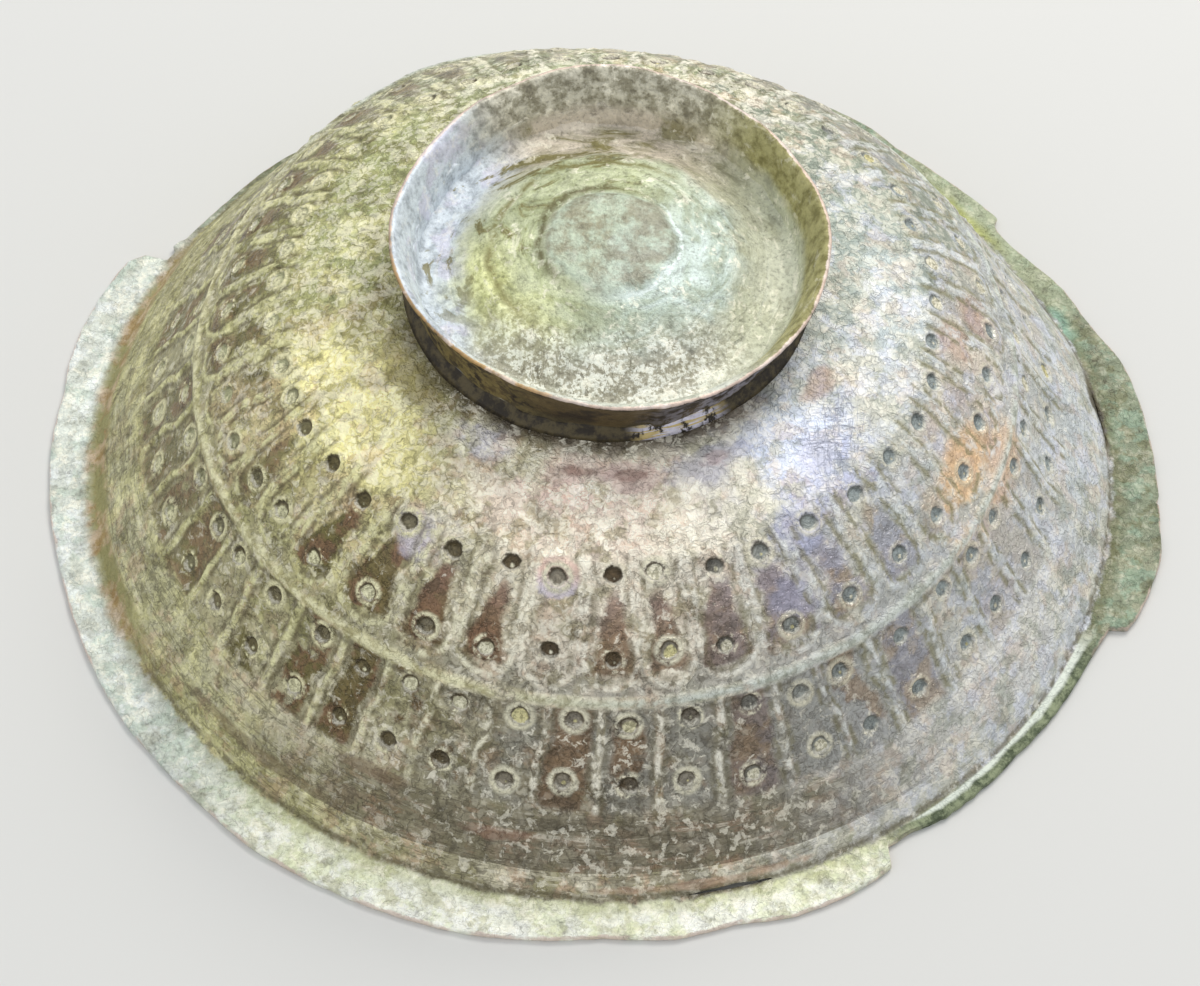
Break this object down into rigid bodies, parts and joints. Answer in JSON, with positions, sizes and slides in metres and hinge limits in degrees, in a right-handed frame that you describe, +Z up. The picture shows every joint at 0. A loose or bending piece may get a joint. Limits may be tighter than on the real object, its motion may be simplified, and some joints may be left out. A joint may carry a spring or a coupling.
{
  "type": "footed metal bowl",
  "caption": "Raised tinned copper bowl with a flared foot ring, torn turned-out rim and chased bands of tongues and ring punches, modelled mouth down.",
  "frame": {"origin": "on the bowl's axis, in the plane that the rim rests on, which is the bottom centre of the bounding box", "axes": "+Z up through the foot ring, along the bowl's axis; -Y is the front of the picture and +X its right-hand side. The bowl stands mouth down; turned half a turn about X it stands on its foot"},
  "size_m": [0.191, 0.1881, 0.0621],
  "materials": {
    "tinned_copper_body": "tinned copper, heavily patinated: grey-olive crust with green, yellow, violet and bare copper-brown areas",
    "tinned_copper_foot": "tinned copper with a silvery bloom inside and a bare pinkish copper edge",
    "soft_solder": "dull grey-brown tin solder with a paler brassy spill at the front"
  },
  "bodies": {
    "root": {"bowl_body": "tinned_copper_body", "foot_ring": "tinned_copper_foot", "foot_solder": "soft_solder"}
  },
  "joints": []
}
